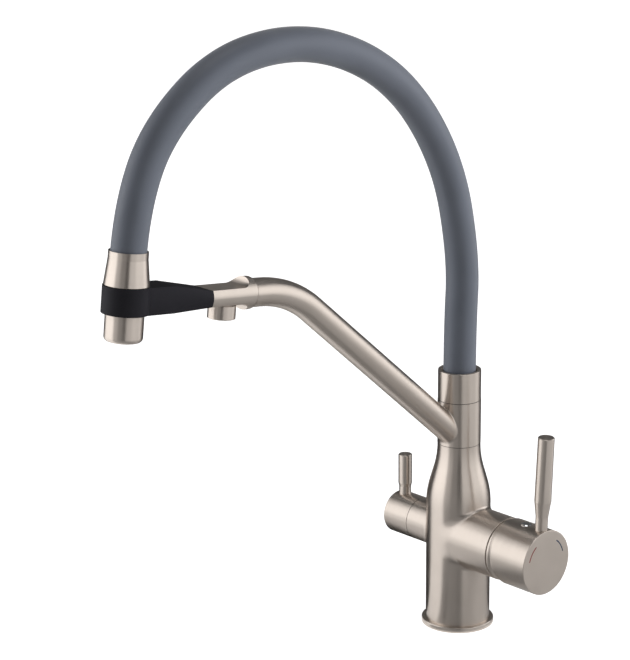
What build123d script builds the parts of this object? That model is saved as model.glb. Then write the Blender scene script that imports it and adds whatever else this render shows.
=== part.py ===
"""Drinking water filter tap: a kitchen mixer with a docked spray head and a filtered-water arm.

Millimetres. The origin is the centre of the base on the worktop, +Z runs up the column, the arm reaches
towards -Y, the mixer's lever is on the +X side and the filtered-water lever on the -X side.
"""

import os
from math import atan2, cos, radians, sin, tan

from build123d import *

# Fits and small shapes shared by several pieces
running_fit = 0.05          # radial clearance of a shaft that turns in its own bore
slip_gap = 0.3              # gap between curved faces that move past each other
seat_gap = 0.1              # gap between stacked pieces that only need to be loose
overrun = 1.0               # how far a cutting shape stands past what it cuts
edge_break = 0.4            # small rounding of a turned edge

# Column: a turned and cast brass shell, bottle shaped
body_radius = 23.0
body_wall = 3.0
neck_radius = 15.3
neck_bore_radius = 12.0
neck_bore_length = 16.0
body_height = 135.8
flare_radius = 60.0         # both curves of the bottle shape
flare_angle = 16.2          # steepest slope of the bottle shape, from the vertical
neck_plain = 1.0            # straight stretch above the bottle shape
cavity_taper = 30.0         # height over which the hollow narrows below the neck's bore

# Base flange, its gasket and the plug that closes the column
flange_radius = 25.9
flange_height = 3.7
flange_lip = 2.0            # the column stands on this
flange_round = 0.8
gasket_width = 3.0
gasket_height = 1.2
gasket_inset = 1.4          # from the plug's edge to the gasket's groove
plug_height = 14.0
port_circle_radius = 11.5
hot_angle = -60.0           # places on the port circle
cold_angle = 60.0
filter_angle = 180.0
stud_angle = 120.0          # either side of the plane of symmetry
inlet_radius = 4.5          # tapped M10 x 1
stud_hole_radius = 3.4      # tapped M8
stud_hole_depth = 11.0

# Waterway: the brass casting inside the column
supply_bore_radius = 3.5
supply_port_radius = 2.6
supply_port_spread = 7.4    # of the hot and cold ports from the valve axis, sideways
supply_tube_wall = 2.1
waterway_block_radius = 15.8
waterway_block_low = 14.0   # below the valve axis
waterway_block_high = 14.0  # above the valve axis
riser_radius = 10.5
mixed_bore_radius = 4.0
mixed_port_radius = 3.2
mixed_port_rise = 7.5       # the mixed-water port above the valve axis
supply_port_drop = 4.5      # the hot and cold ports below the valve axis
filtered_bore_radius = 1.6
filtered_bore_offset = 7.5
filter_port_radius = 2.2
filter_port_offset = 4.8    # of both filter ports from the valve axis

# Mixer valve on the +X side
valve_height = 68.0
mixer_branch_radius = 22.6
mixer_branch_end = 48.4
branch_blend = 1.5          # rounding where the filter branch leaves the column
branch_edge = 0.25          # rounding of the mixer branch's end
cartridge_radius = 17.4
cartridge_seat = 16.0
cartridge_body_end = 34.0
cartridge_neck_radius = 12.8
cartridge_neck_end = 44.0
cartridge_base = 2.0
disc_radius = 12.0
disc_thickness = 3.6
mixing_bore_radius = 3.5    # in the moving disc
nut_radius = 19.5
nut_end = 44.0
lever_pivot = 52.0          # distance of the lever's pivot from the column's axis
cover_radius = 22.3         # crown of the cover ring's bead
cover_bead_width = 3.0
cover_bead_drop = 0.45      # from the bead's crown to its edges
cover_groove_start = 52.7   # the groove between the bead and the cap
cover_groove_radius = 20.9
cover_end = 57.0
cover_bore_radius = 14.5
spindle_radius = 9.5
spindle_flange_radius = 11.9
spindle_end = 57.0
spindle_slot_floor = 45.4
lever_bar_width = 8.0
lever_bar_start = 48.0
lever_bar_end = 76.0
pivot_pin_radius = 1.5

# Mixer handle: a round cap with a lever post
cap_radius = 23.25
cap_face = 85.6
cap_rim = 53.4              # where the slanted rear rim crosses the valve axis
cap_rim_slant = 8.0
cap_rim_wall = 0.6
cap_rim_bevel = 1.6         # long shallow bevel round the rim's outside
cap_rim_bevel_depth = 0.4
cap_wall = 3.25
cap_step = 60.0
cap_step_radius = 21.2
cap_cavity_end = 64.5
cap_solid_start = 75.5
cap_boss_radius = 11.0
cap_edge = 0.5
lever_foot = 79.3           # where the post's line crosses the valve axis
lever_lean = 2.7
lever_length = 91.3
lever_radius = 5.9
lever_top_radius = 5.75
lever_neck_radius = 4.4
lever_neck_end = 33.0
lever_cone_end = 44.5
lever_spigot_radius = 3.0
lever_spigot_start = 11.0
lever_spigot_end = 19.0
set_screw_place = 66.3
set_screw_radius = 2.5
set_screw_end = 11.5
plug_cap_radius = 4.0
plug_cap_depth = 1.7
plug_cap_crown = 1.3
mark_circle_radius = 17.4
mark_width = 0.9
mark_depth = 0.3
mark_sweep = 37.0           # degrees of arc
mark_place = 55.5           # degrees from the lever to the middle of each mark


# Filtered-water valve on the -X side
filter_branch_radius = 15.5
filter_branch_end = 37.4
filter_bore_radius = 12.1
filter_seat = 20.0
headwork_radius = 12.0
headwork_end = 42.0
headwork_chamber_radius = 8.1
headwork_chamber_end = 28.0
filter_disc_radius = 8.0
filter_disc_thickness = 2.6
filter_spindle_radius = 5.0
filter_spindle_end = 57.0
filter_cap_gap = 0.4
filter_cap_face = 61.35
filter_cap_cavity_radius = 13.2
filter_cap_cavity_end = 46.0
filter_cap_edge = 0.8
filter_lever_place = 54.6
filter_lever_radius = 5.0
filter_lever_neck_radius = 4.4
filter_lever_neck_end = 21.0
filter_lever_cone_end = 23.5
filter_lever_length = 45.3
filter_spigot_radius = 2.5
filter_spigot_start = 7.5
filter_spigot_end = 13.0
filter_screw_place = 50.5
filter_screw_radius = 2.0
filter_screw_end = 12.5

# Swivel: a brass core screwed into the neck, the arm's sleeve and the hose collar turn on it
sleeve_radius = 15.4
sleeve_height = 31.9
glide_ring_height = 0.4
glide_ring_inset = 0.2
core_radius = 12.0
core_top_radius = 11.0
core_top_height = 14.0
core_counterbore_radius = 6.0
core_counterbore_depth = 11.0
groove_width = 5.0
groove_depth = 1.6
o_ring_minor_radius = 0.9
o_ring_inset = 5.8          # from the sleeve's ends to the O-rings
sleeve_port_radius = 3.0
collar_radius = 15.25
collar_height = 21.5
collar_bore_radius = 12.2
collar_chamfer = 0.9
clip_radius = 11.8
clip_height = 1.2
clip_inset = 2.4
clip_depth = 1.0

# Arm: a bent brass tube with a milled end block
arm_slope = 41.0
arm_end_slope = 6.5
arm_root_rise = 1.95        # above the sleeve's foot, where the arm's line crosses the column's axis
arm_reach = 160.8           # from the column's axis to the corner of the bend
arm_bend_radius = 83.0
arm_radius = 9.5
arm_wall = 1.2
bar_radius = 10.9
bar_rise = 0.45             # of the bar's axis above the tube's
bar_start = 32.6            # distances from the bend's corner along the arm's end
bar_flat_start = 39.8
bar_end = 72.5
bar_half_thickness = 5.35   # between the two flats
bar_flat_round = 6.5
bar_end_round = 4.0
bar_bore_radius = 4.0
socket_depth = 7.0

# Filtered-water outlet under the end block
outlet_place = 56.2
outlet_radius = 9.2
outlet_height = 9.0
outlet_gap = 1.0
nipple_radius = 7.4
nipple_length = 6.0
nipple_bore_radius = 3.5
outlet_lip = 0.9
outlet_seal_height = 0.8
outlet_seal_width = 2.4
outlet_edge = 0.6

# Dock: a moulded ring on the arm's end that holds the spray head
dock_reach = 135.3          # from the bend's corner to the head's axis
ring_radius = 15.1
ring_bore_radius = 12.7
ring_top = 12.1
ring_bottom = -5.6
dock_full_start = 104.0
dock_top = 11.2
dock_bottom = -6.3
dock_half_width = 10.0
dock_side_bulge = 0.7
tongue_length = 15.0
tongue_width = 12.0
tongue_thickness = 6.0
dock_screw_place = 80.0
dock_screw_radius = 1.5
dock_screw_head_radius = 2.8
dock_screw_head_height = 1.7

# Spray head
head_top = 33.7
head_top_radius = 12.65
head_taper_start = 29.0
head_bell_radius = 14.6
head_radius = 12.35
head_bottom = -23.5
head_bottom_round = 3.2
head_bell_edge = 0.4
head_mouth_radius = 12.0
head_mouth_floor = 25.6
head_flange_floor = 19.0
head_flange_radius = 11.2
head_thread_floor = 4.0
head_thread_radius = 8.0
head_valve_floor = -8.0
head_valve_radius = 6.0
head_chamber_radius = 9.0
head_insert_top = -17.0
head_insert_inset = 0.5
head_insert_wall = 1.4
jet_hole_radius = 0.6       # jets of the head and of the filtered-water outlet
jet_ring_radii = (2.2, 4.4, 6.6)
jet_ring_counts = (6, 12, 18)
head_jet_rings = 3
outlet_jet_rings = 2
head_washer_height = 1.2
head_lift = 38.0            # travel that frees the head from the ring

# Hose: silicone sleeve over a support spring and the water hose
hose_radius = 11.5
hose_wall = 2.8
spring_radius = 8.6
spring_wall = 1.3
water_hose_radius = 7.1
water_hose_wall = 2.9
hose_seat = 17.5            # the hose's lower end above the collar's foot
hose_head_depth = 26.0      # place of its other end on the head's axis
tail_flange_radius = 11.9
tail_flange_height = 3.7
tail_spigot_length = 9.5
tail_bore_radius = 2.8
barb_length = 18.0
barb_gap = 0.2              # the barbs stand a little clear of the water hose's bore
# Route of the hose's centre line in the plane of the arm. Each point goes with the hose's foot
# (share 0), with its end in the head (share 1) or with a place between them, and stands off from
# there by a distance towards the head and a height.
hose_route_shares = [0, 0, 0, 0.25, 0.5, 0.75, 1, 1]
hose_route = [
    (0.0, 34.0),
    (-3.0, 84.0),
    (13.5, 157.0),
    (-11.07, 187.73),
    (-11.14, 187.76),
    (-8.22, 151.69),
    (-26.79, 80.42),
    (-3.89, 33.52),
]
hose_arc_share = 0.45       # of the shorter run that each arc takes up

# Places worked out from the sizes above
valve_axis = Axis((0, 0, valve_height), (1, 0, 0))
valve_side = Plane(origin=(0, 0, valve_height), x_dir=(1, 0, 0), z_dir=(0, -1, 0))
filter_side = Plane(origin=(0, 0, valve_height), x_dir=(-1, 0, 0), z_dir=(0, 1, 0))
end_angle = radians(arm_end_slope)
sleeve_foot = body_height + glide_ring_height
sleeve_top = sleeve_foot + sleeve_height
collar_foot = sleeve_top + glide_ring_height
collar_top = collar_foot + collar_height
core_foot = body_height - neck_bore_length
core_top = sleeve_top + core_top_height
port_height = (sleeve_foot + sleeve_top) / 2
cavity_radius = body_radius - body_wall
arm_root_height = sleeve_foot + arm_root_rise
corner = Vector(0, -arm_reach, arm_root_height + arm_reach * tan(radians(arm_slope)))
outwards = Vector(0, -cos(end_angle), sin(end_angle))
upwards = Vector(0, sin(end_angle), cos(end_angle))
end_side = Plane(origin=corner, x_dir=outwards, z_dir=(-1, 0, 0))
dock_centre = corner + outwards * dock_reach
head_axis = Axis(dock_centre, upwards)
head_side = Plane(origin=dock_centre, x_dir=(1, 0, 0), z_dir=outwards)
outlet_centre = corner + outwards * outlet_place
outlet_axis = Axis(outlet_centre, upwards)
outlet_side = Plane(origin=outlet_centre, x_dir=(1, 0, 0), z_dir=outwards)
hose_start = Vector(0, 0, collar_foot + hose_seat)
hose_end = dock_centre + upwards * hose_head_depth
hose_foot = hose_start.Z


def across(x):
    """Plane square to the valve axis, its local y pointing up."""
    return Plane(origin=(x, 0, valve_height), x_dir=(0, 1, 0), z_dir=(1, 0, 0))


def section(distance, rise=0):
    """Plane square to the arm's end run, local x along +X and local y up."""
    return Plane(origin=corner + outwards * distance + upwards * rise, x_dir=(1, 0, 0), z_dir=outwards)


def on_port_circle(angle):
    """Centre of a port in the base plug."""
    return (port_circle_radius * cos(radians(angle)), port_circle_radius * sin(radians(angle)))


def turned(plane, axis, points):
    """A turned piece: an outline in the plane, revolved about the axis."""
    with BuildPart() as piece:
        with BuildSketch(plane):
            with BuildLine():
                Polyline(*points, close=True)
            make_face()
        revolve(axis=axis)
    return piece


def ring(plane, axis, inner, outer, low, high, along_x=False):
    """A plain ring or disc between two radii and two places on its axis."""
    if along_x:
        return turned(plane, axis, [(low, inner), (high, inner), (high, outer), (low, outer)])
    return turned(plane, axis, [(inner, low), (outer, low), (outer, high), (inner, high)])


os.makedirs("parts", exist_ok=True)


def keep(name, piece):
    """Label the piece and write it out."""
    piece.part.label = name
    export_step(piece.part, f"parts/{name}.step")


# Column shell: revolved bottle shape with two valve branches, hollow for the waterway
slope = radians(flare_angle)
flare_drop = body_radius - neck_radius
flare_straight = (flare_drop - 2 * flare_radius * (1 - cos(slope))) / sin(slope)
flare_height = 2 * flare_radius * sin(slope) + flare_straight * cos(slope)
flare_foot = body_height - neck_plain - flare_height
with BuildPart() as body:
    with BuildSketch(Plane.XZ):
        with BuildLine():
            side = Line((body_radius, flange_lip), (body_radius, flare_foot))
            lower_curve = JernArc(side @ 1, side % 1, flare_radius, flare_angle)
            straight = Line(lower_curve @ 1, lower_curve @ 1 + (lower_curve % 1) * flare_straight)
            upper_curve = JernArc(straight @ 1, straight % 1, flare_radius, -flare_angle)
            neck = Line(upper_curve @ 1, (neck_radius, body_height))
            Polyline(neck @ 1, (0, body_height), (0, flange_lip), side @ 0)
        make_face()
    revolve(axis=Axis.Z)
    with BuildSketch(across(0)):
        Circle(mixer_branch_radius)
    extrude(amount=mixer_branch_end)
    with BuildSketch(across(0)):
        Circle(filter_branch_radius)
    extrude(amount=-filter_branch_end)
    meeting_edges = [
        edge for edge in body.edges().filter_by(GeomType.BSPLINE)
        if -filter_branch_end + overrun < edge.center().X < -overrun
    ]
    fillet(meeting_edges, radius=branch_blend)
    fillet(body.edges().filter_by(GeomType.CIRCLE).sort_by(Axis.X)[-1], branch_edge)
    with BuildSketch(Plane.XZ):
        with BuildLine():
            Polyline((0, 0), (cavity_radius, 0), (cavity_radius, core_foot - cavity_taper),
                     (neck_bore_radius, core_foot), (neck_bore_radius, body_height + overrun),
                     (0, body_height + overrun), close=True)
        make_face()
    revolve(axis=Axis.Z, mode=Mode.SUBTRACT)
    with BuildSketch(across(0)):
        Circle(cartridge_radius + seat_gap)
    extrude(amount=mixer_branch_end + overrun, mode=Mode.SUBTRACT)
    with BuildSketch(across(cartridge_body_end)):
        Circle(nut_radius)
    extrude(amount=mixer_branch_end, mode=Mode.SUBTRACT)
    with BuildSketch(across(0)):
        Circle(filter_bore_radius)
    extrude(amount=-filter_branch_end - overrun, mode=Mode.SUBTRACT)
keep("body", body)

# Base flange: a loose ring that the column stands on, grooved below for the gasket
gasket_bore = cavity_radius + gasket_inset
with BuildPart() as base_flange:
    with BuildSketch(Plane.XZ):
        with BuildLine():
            Polyline((cavity_radius, 0), (gasket_bore, 0), (gasket_bore, gasket_height),
                     (gasket_bore + gasket_width, gasket_height), (gasket_bore + gasket_width, 0),
                     (flange_radius, 0), (flange_radius, flange_height), (body_radius, flange_height),
                     (body_radius, flange_lip), (cavity_radius, flange_lip), close=True)
        make_face()
    revolve(axis=Axis.Z)
    rim_edges = base_flange.edges().filter_by(GeomType.CIRCLE).group_by(Axis.Z)[-1]
    rim_edge = rim_edges.sort_by(SortBy.LENGTH)[-1]
    fillet(rim_edge, flange_round)
keep("base_flange", base_flange)

base_gasket = ring(Plane.XZ, Axis.Z, gasket_bore, gasket_bore + gasket_width, 0, gasket_height)
keep("base_gasket", base_gasket)

# Base plug: closes the column and carries the three tapped inlets and two tapped stud holes
hot_place = on_port_circle(hot_angle)
cold_place = on_port_circle(cold_angle)
filter_place = on_port_circle(filter_angle)
with BuildPart() as base_plug:
    with BuildSketch(Plane.XY):
        Circle(cavity_radius)
    extrude(amount=plug_height)
    with BuildSketch(Plane.XY):
        with Locations(hot_place, cold_place, filter_place):
            Circle(inlet_radius)
    extrude(amount=plug_height, mode=Mode.SUBTRACT)
    with BuildSketch(Plane.XY):
        with Locations(on_port_circle(stud_angle), on_port_circle(-stud_angle)):
            Circle(stud_hole_radius)
    extrude(amount=stud_hole_depth, mode=Mode.SUBTRACT)
keep("base_plug", base_plug)

# Waterway: three supply tubes, a valve block with two seats, and a riser to the swivel
supply_ports = ((-supply_port_spread, -supply_port_drop), (supply_port_spread, -supply_port_drop))
mixed_port = (0, mixed_port_rise)
with BuildPart() as waterway:
    with BuildSketch(Plane.XY.offset(plug_height)):
        with Locations(hot_place, cold_place, filter_place):
            Circle(supply_bore_radius + supply_tube_wall)
    extrude(amount=valve_height - plug_height)
    with BuildSketch(Plane.XY.offset(valve_height - waterway_block_low)):
        Circle(waterway_block_radius)
    extrude(amount=waterway_block_low + waterway_block_high)
    with BuildSketch(Plane.XY.offset(valve_height)):
        Circle(riser_radius)
    extrude(amount=core_foot - valve_height)
    with BuildSketch(across(0)):
        Circle(cartridge_radius)
    extrude(amount=cartridge_seat)
    with BuildSketch(across(0)):
        Circle(headwork_radius)
    extrude(amount=-filter_seat)
    with BuildSketch(Plane.XY.offset(plug_height)):
        with Locations(hot_place, cold_place):
            Circle(supply_bore_radius)
    extrude(amount=valve_height - supply_port_drop + supply_port_radius - plug_height, mode=Mode.SUBTRACT)
    with BuildSketch(Plane.XY.offset(plug_height)):
        with Locations(filter_place):
            Circle(supply_bore_radius)
    extrude(amount=valve_height - filter_port_offset + filter_port_radius - plug_height, mode=Mode.SUBTRACT)
    with BuildSketch(across(hot_place[0])):
        with Locations(*supply_ports):
            Circle(supply_port_radius)
    extrude(amount=cartridge_seat, mode=Mode.SUBTRACT)
    with BuildSketch(across(0)):
        with Locations(mixed_port):
            Circle(mixed_port_radius)
    extrude(amount=cartridge_seat, mode=Mode.SUBTRACT)
    with BuildSketch(Plane.XY.offset(valve_height + mixed_port_rise)):
        Circle(mixed_bore_radius)
    extrude(amount=core_foot, mode=Mode.SUBTRACT)
    with BuildSketch(across(filter_place[0])):
        with Locations((0, -filter_port_offset)):
            Circle(filter_port_radius)
    extrude(amount=-filter_seat, mode=Mode.SUBTRACT)
    with BuildSketch(across(-filtered_bore_offset)):
        with Locations((0, filter_port_offset)):
            Circle(filtered_bore_radius)
    extrude(amount=-filter_seat, mode=Mode.SUBTRACT)
    with BuildSketch(Plane.XY.offset(valve_height + filter_port_offset)):
        with Locations((-filtered_bore_offset, 0)):
            Circle(filtered_bore_radius)
    extrude(amount=core_foot, mode=Mode.SUBTRACT)
keep("waterway", waterway)

# Swivel core: screwed into the neck, with a bore for mixed water and a side channel for filtered water
groove_radius = core_radius - groove_depth
o_ring_heights = (sleeve_foot + o_ring_inset, sleeve_top - o_ring_inset)
o_ring_groove = 2 * o_ring_minor_radius
clip_low = core_top - clip_inset
with BuildPart() as swivel_core:
    with BuildSketch(Plane.XY.offset(core_foot)):
        Circle(core_radius)
    extrude(amount=sleeve_top - core_foot)
    with BuildSketch(Plane.XY.offset(sleeve_top)):
        Circle(core_top_radius)
    extrude(amount=core_top_height)
    for height in o_ring_heights:
        with BuildSketch(Plane.XY.offset(height - o_ring_groove / 2)):
            Circle(core_radius + overrun)
            Circle(core_radius - o_ring_groove, mode=Mode.SUBTRACT)
        extrude(amount=o_ring_groove, mode=Mode.SUBTRACT)
    with BuildSketch(Plane.XY.offset(port_height - groove_width / 2)):
        Circle(core_radius + overrun)
        Circle(groove_radius, mode=Mode.SUBTRACT)
    extrude(amount=groove_width, mode=Mode.SUBTRACT)
    with BuildSketch(Plane.XY.offset(clip_low)):
        Circle(core_radius)
        Circle(core_top_radius - clip_depth, mode=Mode.SUBTRACT)
    extrude(amount=clip_height, mode=Mode.SUBTRACT)
    with BuildSketch(Plane.XY.offset(core_foot)):
        Circle(mixed_bore_radius)
    extrude(amount=core_top, mode=Mode.SUBTRACT)
    with BuildSketch(Plane.XY.offset(core_top - core_counterbore_depth)):
        Circle(core_counterbore_radius)
    extrude(amount=core_counterbore_depth, mode=Mode.SUBTRACT)
    with BuildSketch(Plane.XY.offset(core_foot)):
        with Locations((-filtered_bore_offset, 0)):
            Circle(filtered_bore_radius)
    extrude(amount=port_height - core_foot, mode=Mode.SUBTRACT)
    with BuildSketch(Plane(origin=(-filtered_bore_offset, 0, port_height), z_dir=(-1, 0, 0))):
        Circle(filtered_bore_radius)
    extrude(amount=core_radius, mode=Mode.SUBTRACT)
keep("swivel_core", swivel_core)

with BuildPart() as swivel_o_rings:
    for height in o_ring_heights:
        with Locations((0, 0, height)):
            Torus(core_radius - o_ring_minor_radius, o_ring_minor_radius)
keep("swivel_o_rings", swivel_o_rings)

glide_outer = sleeve_radius - glide_ring_inset
lower_glide_ring = ring(Plane.XZ, Axis.Z, core_radius, neck_radius - glide_ring_inset,
                        body_height, sleeve_foot)
keep("lower_glide_ring", lower_glide_ring)
upper_glide_ring = ring(Plane.XZ, Axis.Z, core_radius + slip_gap, collar_radius - glide_ring_inset,
                        sleeve_top, collar_foot)
keep("upper_glide_ring", upper_glide_ring)

# Arm sleeve: turns on the core, ported for the filtered water
with BuildPart() as arm_sleeve:
    with BuildSketch(Plane.XY.offset(sleeve_foot)):
        Circle(sleeve_radius)
        Circle(core_radius + running_fit, mode=Mode.SUBTRACT)
    extrude(amount=sleeve_height)
    with BuildSketch(Plane(origin=(0, 0, port_height), z_dir=(0, -1, 0))):
        Circle(sleeve_port_radius)
    extrude(amount=sleeve_radius + overrun, mode=Mode.SUBTRACT)
keep("arm_sleeve", arm_sleeve)

# Arm tube: saddled on the sleeve, bent once and let into the end block
tube_end = corner + outwards * (bar_start + socket_depth)
with BuildPart() as arm_tube:
    with BuildLine():
        arm_line = FilletPolyline((0, 0, arm_root_height), corner, tube_end, radius=arm_bend_radius)
    with BuildSketch(Plane(origin=arm_line @ 0, z_dir=arm_line % 0)):
        Circle(arm_radius)
        Circle(arm_radius - arm_wall, mode=Mode.SUBTRACT)
    sweep()
    with BuildSketch(Plane.XY):
        Circle(sleeve_radius)
    extrude(amount=collar_top, mode=Mode.SUBTRACT)
keep("arm_tube", arm_tube)

# End block: a turned bar milled to two flats, with a tongue for the dock and a nipple for the outlet
flat_top = bar_rise + bar_half_thickness
flat_low = bar_rise - bar_half_thickness
with BuildPart() as end_block:
    with BuildSketch(section(bar_start, bar_rise)):
        Circle(bar_radius)
    extrude(amount=bar_end - bar_start)
    rear_edge = end_block.edges().filter_by(GeomType.CIRCLE).sort_by(Axis(corner, outwards))[0]
    fillet(rear_edge, bar_end_round)
    with BuildSketch(end_side):
        for level, up in ((flat_top, 1), (flat_low, -1)):
            with BuildLine():
                flat = Line((bar_end + overrun, level), (bar_flat_start + bar_flat_round, level))
                rise = RadiusArc(flat @ 1, (bar_flat_start, level + up * bar_flat_round), up * bar_flat_round)
                Polyline(rise @ 1, (bar_end + overrun, level + up * bar_flat_round), flat @ 0)
            make_face()
    extrude(amount=bar_radius + overrun, both=True, mode=Mode.SUBTRACT)
    with BuildSketch(section(bar_end - overrun, bar_rise)):
        Rectangle(tongue_width, tongue_thickness)
    extrude(amount=tongue_length + overrun)
    with BuildSketch(Plane(origin=outlet_centre, x_dir=(1, 0, 0), z_dir=-upwards)):
        Circle(nipple_radius)
    extrude(amount=nipple_length - flat_low)
    with BuildSketch(section(bar_start)):
        Circle(arm_radius)
    extrude(amount=socket_depth, mode=Mode.SUBTRACT)
    with BuildSketch(section(bar_start)):
        Circle(bar_bore_radius)
    extrude(amount=outlet_place - bar_start, mode=Mode.SUBTRACT)
    with BuildSketch(Plane(origin=outlet_centre, x_dir=(1, 0, 0), z_dir=-upwards)):
        Circle(nipple_bore_radius)
    extrude(amount=bar_radius + nipple_length, mode=Mode.SUBTRACT)
    with BuildSketch(Plane(origin=corner + outwards * dock_screw_place, x_dir=(1, 0, 0), z_dir=-upwards)):
        Circle(dock_screw_radius)
    extrude(amount=tongue_thickness, mode=Mode.SUBTRACT)
keep("end_block", end_block)

# Filtered-water outlet: a turned sleeve on the nipple, a seal and a straight-flow insert
outlet_top = flat_low - outlet_gap
outlet_foot = outlet_top - outlet_height
nipple_foot = flat_low - nipple_length
with BuildPart() as outlet_sleeve:
    with BuildSketch(outlet_side):
        with BuildLine():
            Polyline((nipple_radius, outlet_top), (outlet_radius, outlet_top), (outlet_radius, outlet_foot),
                     (nipple_radius - outlet_lip, outlet_foot),
                     (nipple_radius - outlet_lip, outlet_foot + outlet_lip),
                     (nipple_radius, outlet_foot + outlet_lip), close=True)
        make_face()
    revolve(axis=outlet_axis)
    lowest = outlet_sleeve.edges().filter_by(GeomType.CIRCLE).group_by(outlet_axis)[0]
    fillet(lowest.sort_by(SortBy.LENGTH)[-1], outlet_edge)
keep("outlet_sleeve", outlet_sleeve)

outlet_seal = ring(outlet_side, outlet_axis, nipple_radius - outlet_seal_width, nipple_radius,
                   nipple_foot - outlet_seal_height, nipple_foot)
keep("outlet_seal", outlet_seal)


def jet_holes(ring_count):
    """Rings of small holes round the centre of an outlet plate."""
    for jet_ring_radius, count in list(zip(jet_ring_radii, jet_ring_counts))[:ring_count]:
        with PolarLocations(jet_ring_radius, count):
            Circle(jet_hole_radius, mode=Mode.SUBTRACT)


insert_high = nipple_foot - outlet_seal_height
insert_low = outlet_foot + outlet_lip
with BuildPart() as outlet_insert:
    with BuildSketch(Plane(origin=outlet_centre + upwards * insert_low, x_dir=(1, 0, 0), z_dir=upwards)):
        Circle(nipple_radius)
        jet_holes(outlet_jet_rings)
    extrude(amount=insert_high - insert_low)
keep("outlet_insert", outlet_insert)


def side_arc(start, end, half_width, bulge):
    """Bowed side of the dock's section."""
    middle = (start[1] + end[1]) / 2
    sign = 1 if start[0] > 0 else -1
    return ThreePointArc(start, (sign * (half_width + bulge), middle), end)


# Dock bracket: a moulded ring with a tapering arm, pushed on the tongue and screwed from below
ring_plane = Plane(origin=dock_centre + upwards * ring_bottom, x_dir=(1, 0, 0), z_dir=upwards)
seam_half_width = (bar_radius ** 2 - bar_half_thickness ** 2) ** 0.5
dock_sections = (
    (bar_end, flat_top, flat_low, seam_half_width, bar_radius - seam_half_width),
    (dock_full_start, dock_top, dock_bottom, dock_half_width, dock_side_bulge),
    (dock_reach - ring_bore_radius / 2, dock_top, dock_bottom, dock_half_width, dock_side_bulge),
)
with BuildPart() as dock_bracket:
    with BuildSketch(ring_plane):
        Circle(ring_radius)
    extrude(amount=ring_top - ring_bottom)
    fillet(dock_bracket.edges().filter_by(GeomType.CIRCLE), edge_break)
    for distance, high, low, half_width, bulge in dock_sections:
        with BuildSketch(section(distance)):
            with BuildLine():
                Line((-half_width, high), (half_width, high))
                side_arc((half_width, high), (half_width, low), half_width, bulge)
                Line((half_width, low), (-half_width, low))
                side_arc((-half_width, low), (-half_width, high), half_width, bulge)
            make_face()
    loft(ruled=True)
    with BuildSketch(ring_plane):
        Circle(ring_bore_radius)
    extrude(amount=ring_top - ring_bottom, both=True, mode=Mode.SUBTRACT)
    with BuildSketch(section(bar_end, bar_rise)):
        Rectangle(tongue_width, tongue_thickness)
    extrude(amount=tongue_length, mode=Mode.SUBTRACT)
    with BuildSketch(Plane(origin=corner + outwards * dock_screw_place, x_dir=(1, 0, 0), z_dir=-upwards)):
        Circle(dock_screw_radius)
    extrude(amount=bar_radius, mode=Mode.SUBTRACT)
    head_seat = corner + outwards * dock_screw_place - upwards * (tongue_thickness / 2 + overrun)
    with BuildSketch(Plane(origin=head_seat, x_dir=(1, 0, 0), z_dir=-upwards)):
        Circle(dock_screw_head_radius)
    extrude(amount=bar_radius, mode=Mode.SUBTRACT)
keep("dock_bracket", dock_bracket)

screw_seat = -tongue_thickness / 2 - overrun
dock_screw_side = Plane(origin=corner + outwards * dock_screw_place, x_dir=(1, 0, 0), z_dir=outwards)
dock_screw = turned(dock_screw_side, Axis(corner + outwards * dock_screw_place, upwards),
                    [(0, 0), (dock_screw_radius, 0), (dock_screw_radius, screw_seat),
                     (dock_screw_head_radius, screw_seat),
                     (dock_screw_head_radius, screw_seat - dock_screw_head_height),
                     (0, screw_seat - dock_screw_head_height)])
keep("dock_screw", dock_screw)

# Hose collar: turns on the core's top and takes the hose's foot
shoulder = core_top + slip_gap
with BuildPart() as hose_collar:
    with BuildSketch(Plane.XZ):
        with BuildLine():
            Polyline((core_top_radius + running_fit, collar_foot), (collar_radius, collar_foot),
                     (collar_radius, collar_top), (collar_bore_radius + collar_chamfer, collar_top),
                     (collar_bore_radius, collar_top - collar_chamfer), (collar_bore_radius, shoulder),
                     (clip_radius + slip_gap, shoulder), (clip_radius + slip_gap, clip_low - slip_gap),
                     (core_top_radius + running_fit, clip_low - slip_gap), close=True)
        make_face()
    revolve(axis=Axis.Z)
    top_edges = hose_collar.edges().filter_by(GeomType.CIRCLE).group_by(Axis.Z)[-1]
    fillet(top_edges.sort_by(SortBy.LENGTH)[-1], edge_break)
keep("hose_collar", hose_collar)

retaining_clip = ring(Plane.XZ, Axis.Z, core_top_radius - clip_depth, clip_radius,
                      clip_low, clip_low + clip_height)
keep("retaining_clip", retaining_clip)

# Hose: three tubes along one route, and a brass tail at each end
route = [hose_start]
for share, (reach, height) in zip(hose_route_shares, hose_route):
    route.append(hose_start + (hose_end - hose_start) * share + Vector(0, -reach, height))
route.append(hose_end)
runs = [after - before for before, after in zip(route, route[1:])]
arc_radii = []
for before, after in zip(runs, runs[1:]):
    half_turn = radians(before.get_angle(after)) / 2
    arc_radii.append(hose_arc_share * min(before.length, after.length) / tan(half_turn))
print("hose arc radii", [round(radius) for radius in arc_radii])


def hose_layer(outer, inner):
    """One tube of the hose, swept along the whole route."""
    with BuildPart() as piece:
        with BuildLine():
            line = FilletPolyline(*route, radius=arc_radii)
        with BuildSketch(Plane(origin=line @ 0, z_dir=line % 0)):
            Circle(outer)
            Circle(inner, mode=Mode.SUBTRACT)
        sweep()
    return piece


silicone_hose = hose_layer(hose_radius, hose_radius - hose_wall)
keep("silicone_hose", silicone_hose)
support_spring = hose_layer(spring_radius, spring_radius - spring_wall)
keep("support_spring", support_spring)
water_hose = hose_layer(water_hose_radius, water_hose_radius - water_hose_wall)
keep("water_hose", water_hose)

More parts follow.
